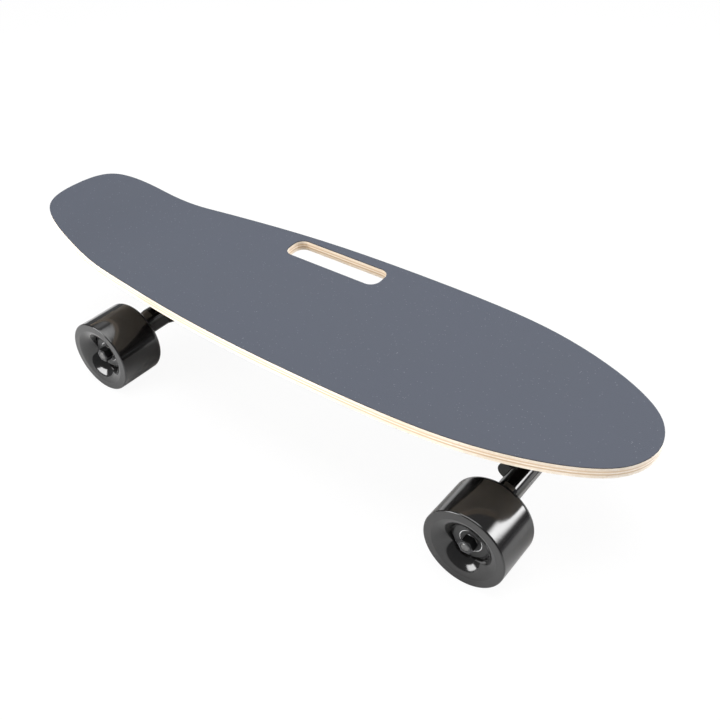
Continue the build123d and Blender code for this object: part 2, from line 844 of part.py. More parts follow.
with BuildPart() as motor_cover_screws:
    with BuildSketch(axle_square(*motor, cover_in)):
        with PolarLocations(cover_screw_circle, cover_screw_count):
            Circle(screw_radius)
    extrude(amount=cover_thickness + 2.4)
    with BuildSketch(axle_square(*motor, cover_in)):
        with PolarLocations(cover_screw_circle, cover_screw_count):
            Circle(screw_head_radius)
    extrude(amount=-screw_head_height)
save(motor_cover_screws, "rear_left_motor_cover_screws")

save(
    make_bearings(*motor, (motor_bearing, outer_bearing)),
    "rear_left_motor_bearings",
)

with BuildPart() as motor_magnets:
    with BuildSketch(axle_square(*motor, stator_in)):
        with BuildSketch(mode=Mode.PRIVATE) as magnet_gap:
            with PolarLocations(0, magnet_count):
                with Locations(((magnet_face + can_bore) / 2, 0)):
                    Rectangle(
                        2 * magnet_thickness + 2.0,
                        (1 - magnet_share) * 2 * pi * can_bore / magnet_count,
                    )
        Circle(can_bore - fit)
        Circle(magnet_face, mode=Mode.SUBTRACT)
        add(magnet_gap.sketch, mode=Mode.SUBTRACT)
    extrude(amount=stator_width)
save(motor_magnets, "rear_left_motor_magnets")

with BuildPart() as motor_stator:
    with BuildSketch(axle_square(*motor, stator_in)):
        Circle(stator_bore)
        with PolarLocations(0, stator_teeth):
            with Locations(((stator_bore + stator_radius) / 2 - 1.0, 0)):
                Rectangle(stator_radius - stator_bore, tooth_width)
        with BuildSketch(mode=Mode.PRIVATE) as tooth_tips:
            Circle(stator_radius)
            Circle(stator_radius - tooth_tip, mode=Mode.SUBTRACT)
            with PolarLocations(0, stator_teeth, start_angle=180 / stator_teeth):
                with Locations((stator_radius, 0)):
                    Rectangle(6 * tooth_tip, tooth_width * 0.8, mode=Mode.SUBTRACT)
        add(tooth_tips.sketch)
        Circle(motor_hub_radius + fit, mode=Mode.SUBTRACT)
    extrude(amount=stator_width)
save(motor_stator, "rear_stator")

coil_in = max(stator_bore + 0.6, housing_radius + running)
coil_out = stator_radius - tooth_tip - 0.6
with BuildPart() as motor_windings:
    with BuildSketch(axle_square(*motor, stator_in - coil_overhang)):
        with PolarLocations((coil_in + coil_out) / 2, stator_teeth):
            Rectangle(coil_out - coil_in, tooth_width + 2 * coil_thickness)
    extrude(amount=stator_width + 2 * coil_overhang)
    with BuildSketch(axle_square(*motor, stator_in - fit)):
        with PolarLocations((coil_in + coil_out) / 2, stator_teeth):
            Rectangle(coil_out - coil_in + 2.0, tooth_width + 2 * fit)
    extrude(amount=stator_width + 2 * fit, mode=Mode.SUBTRACT)
save(motor_windings, "rear_windings")

with BuildPart() as stator_hub:
    with BuildSketch(axle_section(*motor)):
        band(motor_bearing + bearing_width, outer_bearing, axle_radius + fit, speed_ring_radius)
        band(stator_in, stator_out, axle_radius + fit, motor_hub_radius)
    revolve(axis=axle_line(REAR))
save(stator_hub, "rear_stator_hub")

# %% Enclosure ---------------------------------------------------------------------------------

with BuildPart() as enclosure:
    with BuildSketch(Plane.XY.offset(shell_bottom)):
        with Locations((enclosure_x, 0)):
            RectangleRounded(body_length, body_width, body_corner)
    extrude(amount=enclosure_depth - gasket_thickness)
    fillet(enclosure.faces().sort_by(Axis.Z)[0].edges(), enclosure_edge)
    with BuildSketch(Plane.XY.offset(flange_bottom)):
        with Locations((enclosure_x, 0)):
            RectangleRounded(enclosure_length, enclosure_width, enclosure_corner)
    extrude(amount=flange_thickness)
    with BuildSketch(Plane.XY.offset(shell_floor)):
        with Locations((enclosure_x, 0)):
            RectangleRounded(cavity_length, cavity_width, cavity_corner)
    extrude(amount=enclosure_depth, mode=Mode.SUBTRACT)
    with BuildSketch(Plane.XY.offset(flange_bottom - 1.0)):
        with Locations(screw_places):
            Circle(screw_radius + loose)
    extrude(amount=flange_thickness + 2.0, mode=Mode.SUBTRACT)
    with BuildSketch(wall_plane(button_from_front, -1.0)):
        Circle(button_radius + loose)
        with Locations((button_from_front - window_from_front, 0)):
            RectangleRounded(window_length + 2 * fit, window_height + 2 * fit, window_height / 2)
        with Locations((button_from_front - socket_from_front, 0)):
            Circle(socket_radius + fit)
    extrude(amount=-shell_wall - 2.0, mode=Mode.SUBTRACT)
    with BuildSketch(gland_plane(1.0)):
        Circle(gland_radius - 1.5 + fit)
    extrude(amount=-shell_wall - 2.0, mode=Mode.SUBTRACT)
save(enclosure, "enclosure")

with BuildPart() as gasket:
    with BuildSketch(Plane.XY.offset(flange_top)):
        with Locations((enclosure_x, 0)):
            RectangleRounded(enclosure_length, enclosure_width, enclosure_corner)
            RectangleRounded(cavity_length, cavity_width, cavity_corner, mode=Mode.SUBTRACT)
        with Locations(screw_places):
            Circle(screw_radius + loose, mode=Mode.SUBTRACT)
    extrude(amount=gasket_thickness + rise(stack, enclosure_width / 2) + 1.0)
    extrude(wood_underside(), amount=deck_length, both=True, mode=Mode.SUBTRACT)
save(gasket, "enclosure_gasket")

with BuildPart() as enclosure_screws:
    shank = flange_thickness + gasket_thickness + screw_bite
    for radius, reach in ((screw_radius, shank), (screw_head_radius, -screw_head_height)):
        with BuildSketch(Plane.XY.offset(flange_bottom)):
            with Locations(screw_places):
                Circle(radius)
        extrude(amount=reach)
save(enclosure_screws, "enclosure_screws")

cell_places = [first_cell_x + i * cell_pitch for i in range(cell_count)]

with BuildPart() as battery_cells:
    with BuildSketch(Plane.XZ.offset(-cell_length / 2)):
        with Locations([(x, cell_z) for x in cell_places]):
            Circle(cell_radius)
    extrude(amount=cell_length)
save(battery_cells, "battery_cells")

with BuildPart() as battery_links:
    for side in (LEFT, RIGHT):
        first = 0 if side == LEFT else 1
        for i in range(first, cell_count - 1, 2):
            middle = (cell_places[i] + cell_places[i + 1]) / 2
            link_y = side * (cell_length + link_thickness) / 2
            with BuildSketch(Plane.XZ.offset(-link_y - link_thickness / 2)):
                with Locations((middle, cell_z)):
                    RectangleRounded(cell_pitch + link_width, link_width, 2.0)
            extrude(amount=link_thickness)
save(battery_links, "battery_links")

bms_bottom = cell_z + cell_radius + seat
with BuildPart() as bms_board:
    with BuildSketch(Plane.XY.offset(bms_bottom)):
        with Locations((cell_places[0] + pack_length / 3, 0)):
            RectangleRounded(bms_length, bms_width, 2.0)
    extrude(amount=board_thickness)
save(bms_board, "battery_board")

board_bottom = shell_floor + sink_height + seat
with BuildPart() as heat_spreader:
    with BuildSketch(Plane.XY.offset(shell_floor + fit)):
        with Locations((sink_x, 0)):
            RectangleRounded(sink_length, sink_width, 3.0)
    extrude(amount=sink_height)
save(heat_spreader, "heat_spreader")

with BuildPart() as controller_board:
    with BuildSketch(Plane.XY.offset(board_bottom)):
        with Locations((sink_x, 0)):
            RectangleRounded(sink_length, sink_width, 3.0)
    extrude(amount=board_thickness)
save(controller_board, "controller_board")

chip_bottom = board_bottom + board_thickness
with BuildPart() as controller_parts:
    with BuildSketch(Plane.XY.offset(chip_bottom)):
        with Locations((sink_x - sink_length / 6, 0)):
            with GridLocations(13.0, 14.0, 3, 2):
                Rectangle(10.0, 9.0)
    extrude(amount=3.0)
    with BuildSketch(Plane.XY.offset(chip_bottom)):
        with Locations((sink_x + sink_length / 3, 0)):
            with GridLocations(1.0, 14.0, 1, 3):
                Circle(5.0)
    extrude(amount=10.0)
save(controller_parts, "controller_parts")

# %% Switch, charging socket, status window and cable gland ------------------------------------

inner_wall = shell_wall  # depth of the wall's inner face below its outer face
with BuildPart() as power_button:
    with BuildSketch(wall_plane(button_from_front, -button_proud)):
        Circle(button_radius)
    extrude(amount=-button_proud - inner_wall)
    fillet(power_button.faces().sort_by(Axis.Y)[0].edges(), 0.8)
    with BuildSketch(wall_plane(button_from_front, inner_wall)):
        Circle(stem_radius)
    extrude(amount=-button_travel - 3.0)
save(power_button, "power_button")

switch_start = inner_wall + button_travel + seat
with BuildPart() as power_switch:
    with BuildSketch(wall_plane(button_from_front, switch_start)):
        RectangleRounded(4 * stem_radius + 6.0, 4 * stem_radius, 1.0)
        Circle(stem_radius + fit, mode=Mode.SUBTRACT)
    extrude(amount=-switch_depth)
    with BuildSketch(wall_plane(button_from_front, inner_wall)):
        with GridLocations(4 * stem_radius + 4.6, 1.0, 2, 1):
            Rectangle(1.4, 4 * stem_radius)
    extrude(amount=-button_travel - seat)
save(power_switch, "power_switch")

with BuildPart() as status_window:
    with BuildSketch(wall_plane(window_from_front)):
        RectangleRounded(window_length, window_height, window_height / 2 - fit)
    extrude(amount=-inner_wall)
    with BuildSketch(wall_plane(window_from_front, inner_wall)):
        RectangleRounded(window_length + 3.0, window_height + 3.0, window_height / 2)
    extrude(amount=-1.0)
save(status_window, "status_window")

with BuildPart() as charge_socket:
    with BuildSketch(wall_plane(socket_from_front)):
        Circle(socket_radius)
    extrude(amount=-inner_wall)
    with BuildSketch(wall_plane(socket_from_front, inner_wall)):
        Circle(socket_radius + 1.2)
    extrude(amount=-socket_depth)
    with BuildSketch(wall_plane(socket_from_front, -1.0)):
        Circle(socket_bore)
    extrude(amount=-socket_depth - 1.0, mode=Mode.SUBTRACT)
    with BuildSketch(wall_plane(socket_from_front, 1.5)):
        Circle(socket_pin)
    extrude(amount=-socket_depth)
save(charge_socket, "charge_socket")

hinge_drop = cap_radius + 1.6  # hinge pin below the socket's middle
hinge_out = seat + cap_thickness / 2 + 0.4
with BuildPart() as cap_bracket:
    for side in (-1, 1):
        with BuildSketch(Plane.YZ.offset(wall_plane(socket_from_front).origin.X + side * 2.9 - 0.7)):
            with Locations((side_wall - hinge_out, fitting_z - hinge_drop)):
                Circle(1.5)
            with Locations((side_wall - 0.5, fitting_z - hinge_drop)):
                Rectangle(1.0, 3.0)
            make_hull()
            with Locations((side_wall - hinge_out, fitting_z - hinge_drop)):
                Circle(cap_pin_radius + fit, mode=Mode.SUBTRACT)
        extrude(amount=1.4)
save(cap_bracket, "charge_cap_bracket")

with BuildPart() as cap_pin:
    with BuildSketch(Plane.YZ.offset(wall_plane(socket_from_front).origin.X - 3.6)):
        with Locations((side_wall - hinge_out, fitting_z - hinge_drop)):
            Circle(cap_pin_radius)
    extrude(amount=7.2)
save(cap_pin, "charge_cap_pin")

with BuildPart() as charge_cap:
    with BuildSketch(wall_plane(socket_from_front, -seat)):
        Circle(cap_radius)
    extrude(amount=cap_thickness)
    with BuildSketch(Plane.YZ.offset(wall_plane(socket_from_front).origin.X - 1.8)):
        with Locations((side_wall - hinge_out, fitting_z - hinge_drop)):
            Circle(1.5)
        with Locations((side_wall - seat - cap_thickness / 2, fitting_z - cap_radius + 1.5)):
            Rectangle(cap_thickness, 1.0)
        make_hull()
    extrude(amount=3.6)
    with BuildSketch(Plane.YZ.offset(wall_plane(socket_from_front).origin.X - 5.0)):
        with Locations((side_wall - hinge_out, fitting_z - hinge_drop)):
            Circle(cap_pin_radius + fit)
    extrude(amount=10.0, mode=Mode.SUBTRACT)
save(charge_cap, "charge_cap")

with BuildPart() as cable_gland:
    with BuildSketch(gland_plane(-shell_wall)):
        Circle(gland_radius - 1.5)
    extrude(amount=shell_wall)
    with BuildSketch(gland_plane(0.0)):
        RegularPolygon(gland_radius, 6)
    extrude(amount=4.0)
    with BuildSketch(gland_plane(4.0)):
        Circle(gland_radius - 1.2)
    extrude(amount=gland_length - 4.0, taper=8)
    with BuildSketch(gland_plane(-shell_wall)):
        Circle(gland_bore)
    extrude(amount=gland_length + shell_wall, mode=Mode.SUBTRACT)
save(cable_gland, "motor_cable_gland")
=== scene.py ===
# %% [markdown]
# # An electric skateboard, finished for the camera
#
# The working model of this board already exists: a maple deck on two sprung trucks, four wheels,
# a hub motor and a battery case. It arrives here as a fixed frame. This file gives it its looks:
# what each surface is made of, how the light falls, and the small pieces that a machinist leaves
# out of a drawing but anyone holding the board would miss.

# %% Load the working model
import json
import math

import bmesh
import bpy
from mathutils import Matrix, Vector


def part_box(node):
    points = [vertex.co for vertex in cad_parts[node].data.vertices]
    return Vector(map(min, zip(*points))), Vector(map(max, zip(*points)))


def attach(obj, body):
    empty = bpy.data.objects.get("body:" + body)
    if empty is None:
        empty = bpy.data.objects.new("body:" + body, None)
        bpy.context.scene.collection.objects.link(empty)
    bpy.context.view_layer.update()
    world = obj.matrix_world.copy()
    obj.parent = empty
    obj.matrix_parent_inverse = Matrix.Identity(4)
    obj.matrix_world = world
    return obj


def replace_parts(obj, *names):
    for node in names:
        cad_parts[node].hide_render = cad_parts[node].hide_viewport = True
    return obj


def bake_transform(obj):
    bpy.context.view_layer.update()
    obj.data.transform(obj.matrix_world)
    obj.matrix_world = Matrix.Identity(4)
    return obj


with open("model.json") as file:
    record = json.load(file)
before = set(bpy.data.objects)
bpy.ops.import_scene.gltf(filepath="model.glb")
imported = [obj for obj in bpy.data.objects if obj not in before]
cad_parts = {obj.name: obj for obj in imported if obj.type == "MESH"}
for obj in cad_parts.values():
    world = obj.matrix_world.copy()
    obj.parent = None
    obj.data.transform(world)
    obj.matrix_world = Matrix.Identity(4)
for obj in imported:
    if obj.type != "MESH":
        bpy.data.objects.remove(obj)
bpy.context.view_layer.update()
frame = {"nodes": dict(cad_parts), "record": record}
nodes = frame["nodes"]
MM = 0.001

# %% [markdown]
# ## The camera
#
# Product shots of boards are taken from above the front corner, with a lens a little longer than
# normal so that the near wheel doesn't balloon. The camera stands ahead of the nose, on the
# rider's right, and looks down over the deck. Its place is set in metres and it is turned with
# three unit vectors worked out from where it looks, which is easier to read than three angles.

# %% Camera
camera_place = Vector((0.4942, -0.5657, 0.6203))
look_direction = Vector((-0.48885, 0.62640, -0.60717))
camera_up = Vector((-0.35252, 0.49480, 0.79429))
lens_mm = 46.43


def show(thing):
    """Puts an object in the scene and hands it back."""
    bpy.context.scene.collection.objects.link(thing)
    return thing


camera_data = bpy.data.cameras.new("studio_camera")
camera_data.lens = lens_mm
camera_data.sensor_width = 36.0
camera_data.dof.use_dof = False
camera_data.clip_start = 0.01
camera = show(bpy.data.objects.new("studio_camera", camera_data))
camera_right = look_direction.cross(camera_up).normalized()
camera.matrix_world = Matrix.Translation(camera_place) @ Matrix(
    (camera_right, camera_right.cross(look_direction).normalized(), -look_direction)
).transposed().to_4x4()
bpy.context.scene.camera = camera
print("camera stands", round(camera_place.length, 3), "m from the middle of the deck")

# %% [markdown]
# ## Wiring a finish
#
# Every finish below is a small network of shader nodes. Wiring one by hand takes four lines per
# node, so a few helpers do it in one: `wire` makes a node and plugs in whatever it is given, and
# the rest are the handful of operations that every finish uses. Patterns are measured in the
# object's own coordinates, in metres, so wood grain and grit keep their true size and stay put
# when a wheel turns.

# %% Helpers for finishes
def wire(tree, kind, sockets=None, **settings):
    """Makes a shader node, sets it up and plugs in values or other nodes' outputs."""
    made = tree.nodes.new("ShaderNode" + kind)
    for name, value in settings.items():
        setattr(made, name, value)
    for key, value in (sockets or {}).items():
        if isinstance(value, bpy.types.NodeSocket):
            tree.links.new(value, made.inputs[key])
        else:
            made.inputs[key].default_value = value
    return made


def sums(tree, operation, *values):
    """One step of arithmetic on values or sockets."""
    return wire(tree, "Math", dict(enumerate(values)), operation=operation).outputs[0]


def blend_colours(tree, share, first, second):
    """Mixes two colours by a share from 0 to 1."""
    sockets = {0: share, 6: first, 7: second}
    return wire(tree, "Mix", sockets, data_type="RGBA").outputs[2]


def rescale(tree, value, low, high, new_low, new_high):
    """Stretches a value from one range to another."""
    sockets = dict(enumerate((value, low, high, new_low, new_high)))
    return wire(tree, "MapRange", sockets).outputs[0]


def object_place(tree):
    """Where a point of the surface is, in metres, as a vector and as x, y and z."""
    place = wire(tree, "TexCoord").outputs["Object"]
    return place, wire(tree, "SeparateXYZ", {0: place}).outputs


def stretched(tree, place, scale):
    """Coordinates scaled differently along x, y and z."""
    return wire(tree, "Mapping", {"Vector": place, "Scale": scale}).outputs[0]


def noise(tree, place, scale, detail=3.0, roughness=0.55):
    """Soft clouds, as many to the metre as the scale says."""
    sockets = {"Vector": place, "Scale": scale, "Detail": detail, "Roughness": roughness}
    return wire(tree, "TexNoise", sockets).outputs[0]


def cells(tree, place, scale, output=0):
    """Packed cells: the distance to each one's middle, or with output 1 a colour of its own."""
    return wire(tree, "TexVoronoi", {"Vector": place, "Scale": scale}).outputs[output]


def relief(tree, height, depth, strength, below=None):
    """Bump: a height from 0 to 1, standing a depth in metres proud of the surface."""
    sockets = {"Height": height, "Distance": depth, "Strength": strength}
    if below is not None:
        sockets["Normal"] = below
    return wire(tree, "Bump", sockets).outputs[0]


def new_finish(name, **sockets):
    """Starts a finish and returns it with its tree and its shader."""
    finish = bpy.data.materials.new(name)
    finish.use_nodes = True
    tree = finish.node_tree
    shader = tree.nodes["Principled BSDF"]
    for key, value in sockets.items():
        shader.inputs[key.replace("_", " ")].default_value = value
    return finish, tree, shader


def plug(tree, shader, **sockets):
    """Connects outputs to the shader's inputs."""
    for key, value in sockets.items():
        tree.links.new(value, shader.inputs[key.replace("_", " ")])


finishes = {}

# %% [markdown]
# ## Grip tape
#
# Grip tape is silicon carbide grit glued to a black sheet. From a step away it reads as a matt
# slate grey, and close up as dark grains with a few that catch the light. Painting the grains
# would need an image, so three patterns make them: fine cells for the grit, finer noise for the
# glue, and a very soft cloud for the unevenness that handling leaves. The sheet's cut edge shows
# its black backing, picked out by how steeply the surface faces sideways.

# %% Grip tape finish
GRIT = 1500.0  # grains per metre

finish, tree, shader = new_finish("grip", Roughness=0.82, Specular_IOR_Level=0.35)
place, (x, y, z) = object_place(tree)
grains = cells(tree, place, GRIT)
glue = noise(tree, place, GRIT * 0.7, 2.0)
cloud = noise(tree, place, 9.0, 4.0, 0.6)
grain_pick = wire(tree, "SeparateXYZ", {0: cells(tree, place, GRIT, output=1)}).outputs[0]
sparkle = sums(tree, "GREATER_THAN", grain_pick, 0.995)
slate = blend_colours(tree, glue, (0.0430, 0.0480, 0.0630, 1), (0.0640, 0.0720, 0.0930, 1))
wear = rescale(tree, cloud, 0.35, 0.7, 0.0, 0.30)
handled = blend_colours(tree, wear, slate, (0.054, 0.060, 0.074, 1))
lit_grains = blend_colours(tree, sums(tree, "MULTIPLY", sparkle, 0.35), handled, (0.22, 0.23, 0.25, 1))
normal = wire(tree, "SeparateXYZ", {0: wire(tree, "NewGeometry").outputs["Normal"]}).outputs[2]
backing = rescale(tree, normal, 0.45, 0.8, 1.0, 0.0)
plug(
    tree,
    shader,
    Base_Color=blend_colours(tree, backing, lit_grains, (0.018, 0.018, 0.020, 1)),
    Normal=relief(tree, grains, 0.00022, 0.55, relief(tree, glue, 0.0001, 0.35)),
    Roughness=rescale(tree, glue, 0.2, 0.8, 0.72, 0.92),
)
finishes["grip"] = finish
print("grip: grains", round(1000 / GRIT, 2), "mm across")

# %% [markdown]
# ## Maple
#
# The deck is seven maple veneers pressed in a curved mould. Its edge shows them as stripes: five
# run along the board and show long pale streaks, and two run across it and show darker end
# grain, with a hair of glue between all of them. The stripes follow the bend of the deck, so the
# finish works out how deep each point lies below the curved top face: up the hollow across the
# board, and around the bend of the kicked tail. The broad faces show one veneer's long grain.

# %% Maple finish
GRIP_TOP = 0.116
HOLLOW = 1.200  # radius of the deck's hollow, across
KICK_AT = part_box("deck")[0].x + 0.1285  # where the tail starts to rise
KICK_RADIUS = 0.2035
KICK_ANGLE = math.radians(16.5)
WOOD_STARTS = 0.0008  # the grip's thickness
PLIES = 7
PLY = 0.0102 / PLIES


def depth_in_deck(tree, x, y, z):
    """How far a point is below the deck's curved top face, in metres."""
    hollow = sums(tree, "MULTIPLY", sums(tree, "MULTIPLY", y, y), 0.5 / HOLLOW)
    level = sums(tree, "SUBTRACT", z, hollow)
    flat = sums(tree, "SUBTRACT", GRIP_TOP, level)
    back = sums(tree, "SUBTRACT", KICK_AT, x)
    low = sums(tree, "SUBTRACT", KICK_RADIUS, sums(tree, "SUBTRACT", level, GRIP_TOP))
    squares = sums(tree, "ADD", sums(tree, "MULTIPLY", back, back), sums(tree, "MULTIPLY", low, low))
    bent = sums(tree, "SUBTRACT", sums(tree, "SQRT", squares), KICK_RADIUS)
    upright = sums(tree, "MULTIPLY", low, math.cos(KICK_ANGLE))
    sloping = sums(tree, "ADD", upright, sums(tree, "MULTIPLY", back, math.sin(KICK_ANGLE)))
    straight = sums(tree, "SUBTRACT", sloping, KICK_RADIUS)
    past_bend = sums(tree, "GREATER_THAN", back, sums(tree, "MULTIPLY", low, math.tan(KICK_ANGLE)))
    kicked = wire(tree, "Mix", {0: past_bend, 2: bent, 3: straight}).outputs[0]
    behind = sums(tree, "GREATER_THAN", back, 0.0)
    return wire(tree, "Mix", {0: behind, 2: flat, 3: kicked}).outputs[0]


finish, tree, shader = new_finish("maple", Coat_Weight=0.45, Coat_Roughness=0.12, Specular_IOR_Level=0.45)
place, (x, y, z) = object_place(tree)
depth = sums(tree, "SUBTRACT", depth_in_deck(tree, x, y, z), WOOD_STARTS)
plies = sums(tree, "DIVIDE", depth, PLY)
ply_number = sums(tree, "MAXIMUM", sums(tree, "FLOOR", plies), 0.0)
ply_number = sums(tree, "MINIMUM", ply_number, PLIES - 1)
within = sums(tree, "FRACT", plies)
glue_above = rescale(tree, within, 0.0, 0.07, 1.0, 0.0)
glue_below = rescale(tree, within, 0.93, 1.0, 0.0, 1.0)
glue_line = sums(tree, "MAXIMUM", glue_above, glue_below)
third_ply = sums(tree, "COMPARE", ply_number, 2.0, 0.1)
crosswise = sums(tree, "ADD", third_ply, sums(tree, "COMPARE", ply_number, 4.0, 0.1))
figure = noise(tree, stretched(tree, place, (7.0, 140.0, 60.0)), 1.0, 6.0, 0.6)
pores = noise(tree, stretched(tree, place, (60.0, 1500.0, 500.0)), 1.0, 3.0, 0.5)
end_grain = noise(tree, stretched(tree, place, (1900.0, 1900.0, 600.0)), 1.0, 2.0, 0.6)
figured = rescale(tree, figure, 0.30, 0.72, 0.0, 1.0)
pale = blend_colours(tree, figured, (0.89, 0.805, 0.690, 1), (0.79, 0.665, 0.515, 1))
streaked = blend_colours(tree, rescale(tree, pores, 0.5, 0.75, 0.0, 0.35), pale, (0.60, 0.43, 0.28, 1))
across = blend_colours(tree, end_grain, (0.74, 0.56, 0.38, 1), (0.58, 0.40, 0.24, 1))
ply_shade = wire(tree, "TexWhiteNoise", {"W": ply_number}, noise_dimensions="1D").outputs[0]
tone = blend_colours(tree, ply_shade, (0.90, 0.87, 0.84, 1), (1, 1, 1, 1))
edge_colour = blend_colours(tree, crosswise, streaked, across)
tinted = {0: 1.0, 6: edge_colour, 7: tone}
toned = wire(tree, "Mix", tinted, data_type="RGBA", blend_type="MULTIPLY").outputs[2]
glued = blend_colours(tree, sums(tree, "MULTIPLY", glue_line, 0.5), toned, (0.50, 0.33, 0.19, 1))
facing = wire(tree, "SeparateXYZ", {0: wire(tree, "NewGeometry").outputs["True Normal"]}).outputs[2]
broad_face = sums(tree, "GREATER_THAN", sums(tree, "ABSOLUTE", facing), 0.75)
sanded = sums(tree, "SUBTRACT", pores, sums(tree, "MULTIPLY", glue_line, 0.4))
plug(
    tree,
    shader,
    Base_Color=blend_colours(tree, broad_face, glued, streaked),
    Roughness=rescale(tree, pores, 0.3, 0.8, 0.30, 0.48),
    Normal=relief(tree, sanded, 0.00006, 0.6),
)
finishes["maple"] = finish
print("maple: seven plies of", round(PLY * 1000, 2), "mm")

# %% [markdown]
# ## Urethane, rubber and paint
#
# The wheels are cast in a polished mould and come out as glossy as black glass, with faint flow
# marks where the urethane cooled. Trucks are sprayed gloss black over cast aluminium, which
# leaves the fine waviness called orange peel. Rubber, moulded plastic and foam are the same idea
# with rougher, coarser relief. One helper makes them all, because they differ only in colour,
# gloss and the size of their texture.

# %% Moulded and painted finishes
PATCHES = 14.0  # light and dark patches to the metre


def moulded(name, dark, light, gloss, texture, depth):
    """A cast, sprayed or moulded surface: two shades, a range of roughness and a fine relief."""
    finish, tree, shader = new_finish(name)
    place, _ = object_place(tree)
    mottle = noise(tree, place, PATCHES, 4.0, 0.6)
    shade = rescale(tree, mottle, 0.3, 0.7, 0.0, 1.0)
    fine = noise(tree, place, texture, 3.0, 0.5)
    plug(
        tree,
        shader,
        Base_Color=blend_colours(tree, shade, (*dark, 1), (*light, 1)),
        Roughness=rescale(tree, mottle, 0.3, 0.7, *gloss),
        Normal=relief(tree, fine, depth, 0.5),
    )
    finishes[name] = finish


moulded("wheel_urethane", (0.0035, 0.0032, 0.0032), (0.0060, 0.0054, 0.0052), (0.09, 0.15), 260.0, 0.00002)
moulded("wheel_core", (0.006, 0.006, 0.006), (0.012, 0.012, 0.012), (0.34, 0.45), 1400.0, 0.00003)
moulded("truck_black", (0.0030, 0.0028, 0.0026), (0.0055, 0.0050, 0.0048), (0.12, 0.20), 620.0, 0.00003)
moulded("riser_rubber", (0.010, 0.010, 0.011), (0.020, 0.020, 0.021), (0.60, 0.75), 1100.0, 0.00005)
moulded("bushing_urethane", (0.012, 0.009, 0.006), (0.022, 0.016, 0.010), (0.22, 0.34), 420.0, 0.00003)
moulded("cup_urethane", (0.010, 0.010, 0.010), (0.018, 0.018, 0.018), (0.35, 0.45), 500.0, 0.00003)
moulded("case_plastic", (0.008, 0.008, 0.009), (0.014, 0.014, 0.015), (0.42, 0.55), 1700.0, 0.00006)
moulded("button_plastic", (0.015, 0.015, 0.016), (0.026, 0.026, 0.028), (0.30, 0.40), 1500.0, 0.00004)
moulded("cap_rubber", (0.012, 0.012, 0.012), (0.022, 0.022, 0.022), (0.60, 0.72), 1200.0, 0.00005)
moulded("gasket_foam", (0.020, 0.020, 0.020), (0.035, 0.035, 0.035), (0.85, 0.95), 2200.0, 0.00025)
moulded("cell_wrap", (0.020, 0.090, 0.240), (0.030, 0.120, 0.300), (0.25, 0.38), 300.0, 0.00003)
moulded("chip", (0.010, 0.010, 0.011), (0.020, 0.020, 0.021), (0.45, 0.60), 1500.0, 0.00003)
print("moulded finishes:", len(finishes) - 2)

# %% [markdown]
# ## Metals
#
# Bare metal shows how it was worked. Turned parts carry rings around their axis, plated screws a
# cloudy zinc film that drifts from blue to straw, and ground races are nearly mirrors. A helper
# varies tint and roughness with two patterns: a stretched one for tool marks and a broad one for
# stain. The direction of the marks is given as how much each axis is squeezed.

# %% Metal finishes
def metal(name, tint, stain, gloss, marks, depth, bare=1.0):
    """A worked metal: its tint, the tint of its stain, a range of roughness and its tool marks."""
    finish, tree, shader = new_finish(name, Metallic=bare)
    place, _ = object_place(tree)
    cloudy = noise(tree, place, 90.0, 4.0, 0.65)
    tooled = noise(tree, stretched(tree, place, marks), 1.0, 3.0, 0.55)
    stained = rescale(tree, cloudy, 0.35, 0.7, 0.0, 1.0)
    worked = sums(tree, "MULTIPLY", cloudy, sums(tree, "ADD", tooled, 0.5))
    plug(
        tree,
        shader,
        Base_Color=blend_colours(tree, stained, (*tint, 1), (*stain, 1)),
        Roughness=rescale(tree, worked, 0.2, 0.8, *gloss),
        Normal=relief(tree, tooled, depth, 0.4),
    )
    finishes[name] = finish


ALONG_AXLE = (250.0, 2600.0, 250.0)
metal("axle_steel", (0.15, 0.15, 0.15), (0.10, 0.095, 0.09), (0.28, 0.42), ALONG_AXLE, 0.00001)
metal("bearing_steel", (0.62, 0.62, 0.62), (0.52, 0.52, 0.53), (0.12, 0.26), ALONG_AXLE, 0.000008)
metal("zinc_steel", (0.52, 0.54, 0.60), (0.58, 0.53, 0.42), (0.26, 0.42), (700.0, 700.0, 1800.0), 0.00001)
KNURLED = (900.0, 1600.0, 900.0)
metal("black_bolt", (0.055, 0.055, 0.058), (0.030, 0.029, 0.028), (0.28, 0.42), KNURLED, 0.00001, 0.9)
metal("motor_metal", (0.040, 0.041, 0.044), (0.026, 0.026, 0.028), (0.24, 0.36), ALONG_AXLE, 0.000015, 0.85)
metal("hub_aluminium", (0.62, 0.63, 0.65), (0.54, 0.55, 0.57), (0.28, 0.42), ALONG_AXLE, 0.00001)
metal("magnet", (0.55, 0.54, 0.51), (0.46, 0.45, 0.43), (0.16, 0.28), (400.0, 400.0, 400.0), 0.000006)
metal("nickel", (0.60, 0.57, 0.52), (0.50, 0.47, 0.43), (0.22, 0.36), (2400.0, 300.0, 300.0), 0.00001)
metal("lamination", (0.20, 0.20, 0.21), (0.12, 0.10, 0.09), (0.40, 0.60), (60.0, 3000.0, 60.0), 0.00012)
metal("copper", (0.72, 0.30, 0.14), (0.55, 0.18, 0.07), (0.22, 0.36), (1500.0, 60.0, 1500.0), 0.00018)
print("finishes so far:", len(finishes))

# %% [markdown]
# ## Circuit boards and the status window
#
# A bare board is green lacquer over copper tracks, so its finish lays out a grid of tracks with
# a few cells left as pads. The window in the case is smoked plastic with four light pipes behind
# it: round pale dots at an even pitch, measured from the window's own box. Both patterns are
# arithmetic on the coordinates, so they stay sharp at any distance.

